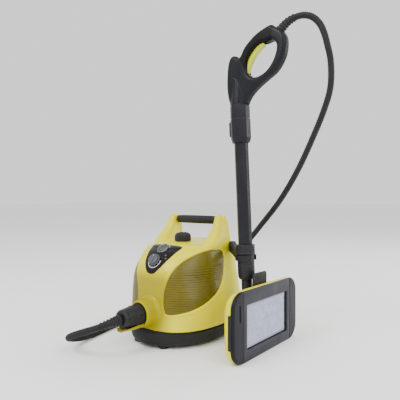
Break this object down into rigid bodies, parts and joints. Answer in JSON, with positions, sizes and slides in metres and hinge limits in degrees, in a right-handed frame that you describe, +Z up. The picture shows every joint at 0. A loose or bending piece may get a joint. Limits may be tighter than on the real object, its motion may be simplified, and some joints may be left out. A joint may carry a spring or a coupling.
{
  "type": "canister steam cleaner",
  "caption": "Canister steam cleaner with boiler, control panel, carry handle, steam hose, loop-handle wand parked in a side clip and a swivelling mop head.",
  "frame": {"origin": "bottom centre, on the floor, of the bounding box of everything but the free hose", "axes": "+Z up, -Y towards the hose socket and control panel at the front, +X towards the side where the wand is parked"},
  "size_m": [0.6223, 0.5393, 0.8369],
  "materials": {
    "shell_yellow": "glossy moulded plastic",
    "panel_olive": "glossy ribbed moulding",
    "base_black": "fine textured moulding",
    "panel_black": "high gloss",
    "plastic_dark": "satin moulding",
    "plate_grey": "satin moulding",
    "gauge_metal": "dark brushed metal",
    "needle_red": "painted",
    "lens_clear": "clear",
    "lamp_amber": "translucent",
    "rubber_black": "matt",
    "seal_red": "silicone",
    "steel": "brushed",
    "heater_grey": "cast",
    "ceramic": "ceramic-like",
    "brass": "turned",
    "board_green": "circuit board",
    "switch_red": "glossy",
    "trigger_lime": "glossy",
    "cloth": "microfibre cloth"
  },
  "bodies": {
    "canister": {"base_tray": "base_black", "rubber_feet": "rubber_black", "base_screws": "steel", "upper_shell": "shell_yellow", "side_panel_right": "panel_olive", "side_panel_left": "panel_olive", "control_panel": "panel_black", "pressure_gauge": "gauge_metal", "gauge_lens": "lens_clear", "pilot_lamps": "lamp_amber", "carry_grip": "plastic_dark", "boiler": "steel", "heating_element": "heater_grey", "thermostat": "ceramic", "solenoid_valve": "brass", "steam_pipe": "brass", "safety_valve": "brass", "circuit_board": "board_green", "socket_nose": "shell_yellow", "steam_socket": "plastic_dark", "hose_plug": "plastic_dark", "plug_relief": "rubber_black", "steam_hose": "rubber_black", "rear_plate": "base_black", "cord_gland": "base_black", "parking_bracket": "base_black"},
    "knob": {"steam_knob": "plastic_dark"},
    "needle": {"gauge_needle": "needle_red"},
    "cap_core": {"cap_plug": "brass", "cap_seal": "seal_red"},
    "cap": {"boiler_cap": "plastic_dark"},
    "switch": {"power_switch": "switch_red"},
    "plug_latch": {"plug_button": "plastic_dark"},
    "wand": {"wand_tube": "plastic_dark", "lock_ring": "plastic_dark", "neck_socket": "plastic_dark", "upper_socket": "plastic_dark", "handle_shell_left": "plastic_dark", "handle_shell_right": "plastic_dark", "handle_screws": "steel", "handle_relief": "rubber_black", "trigger_pin": "steel", "trigger_spring": "steel", "micro_switch": "plastic_dark"},
    "tube_latch": {"tube_lock_button": "plastic_dark"},
    "trigger": {"trigger": "trigger_lime"},
    "yoke": {"swivel_yoke": "plastic_dark", "hinge_pin": "steel"},
    "head": {"head_shell": "shell_yellow", "head_plate": "plate_grey", "steam_plate": "plastic_dark", "cloth_pad": "cloth", "pedal_pin": "steel"},
    "clip_left": {"end_clip_left": "plate_grey"},
    "clip_right": {"end_clip_right": "plate_grey"},
    "pedal": {"release_pedal": "base_black"}
  },
  "joints": [
    {"name": "knob_turn", "type": "hinge", "parent": "canister", "child": "knob", "pos_m": [-0.09, -0.091, 0.2185], "axis": [0, -0.7986, 0.6018], "range_deg": [-135, 135]},
    {"name": "needle_swing", "type": "hinge", "parent": "canister", "child": "needle", "pos_m": [-0.09, -0.06, 0.247], "axis": [0, -0.6157, 0.788], "range_deg": [-240, 0], "stiffness_Nm_per_rad": 0.0005, "springref_deg": 17.19},
    {"name": "cap_lift", "type": "slide", "parent": "canister", "child": "cap_core", "axis": [0, 0, 1], "range_m": [0, 0.006]},
    {"name": "cap_turn", "type": "hinge", "parent": "cap_core", "child": "cap", "pos_m": [-0.09, 0.021, 0], "axis": [0, 0, 1], "range_deg": [0, 721]},
    {"name": "switch_rock", "type": "hinge", "parent": "canister", "child": "switch", "pos_m": [-0.116, 0.19, 0.085], "axis": [1, 0, 0], "range_deg": [-12, 0]},
    {"name": "plug_release", "type": "slide", "parent": "canister", "child": "plug_latch", "axis": [-1, 0, 0], "range_m": [0, 0.002], "stiffness_N_per_m": 600, "springref_m": -0.003},
    {"name": "wand_lift", "type": "slide", "parent": "canister", "child": "wand", "axis": [-0.0478, 0, 0.9989], "range_m": [0, 0.045], "deforming": ["steam_hose"]},
    {"name": "tube_release", "type": "slide", "parent": "wand", "child": "tube_latch", "axis": [0.9989, 0, 0.0478], "range_m": [0, 0.003], "stiffness_N_per_m": 600, "springref_m": -0.003},
    {"name": "trigger_pull", "type": "hinge", "parent": "wand", "child": "trigger", "pos_m": [0.10895, 0.048, 0.71203], "axis": [0, -1, 0], "range_deg": [0, 8], "stiffness_Nm_per_rad": 0.6, "springref_deg": -14.32},
    {"name": "head_twist", "type": "hinge", "parent": "wand", "child": "yoke", "pos_m": [0.113, 0.048, 0.0835], "axis": [-0.0478, 0, 0.9989], "range_deg": [-15, 15]},
    {"name": "head_tilt", "type": "hinge", "parent": "yoke", "child": "head", "pos_m": [0.113, 0.048, 0.0835], "axis": [0, 1, 0], "range_deg": [0, 60]},
    {"name": "clip_left_open", "type": "hinge", "parent": "head", "child": "clip_left", "pos_m": [0.1715, -0.0687, 0.0835], "axis": [0, 0, 1], "range_deg": [0, 50]},
    {"name": "clip_right_open", "type": "hinge", "parent": "head", "child": "clip_right", "pos_m": [0.1715, 0.1647, 0.0835], "axis": [0, 0, -1], "range_deg": [0, 50]},
    {"name": "pedal_press", "type": "hinge", "parent": "head", "child": "pedal", "pos_m": [0.148, 0.048, 0.1495], "axis": [0, 1, 0], "range_deg": [0, 9], "stiffness_Nm_per_rad": 0.6, "springref_deg": -11.46}
  ],
  "couplings": [
    {"joint": "cap_turn", "follows": "cap_lift", "rad_per_m": 2094.4}
  ]
}
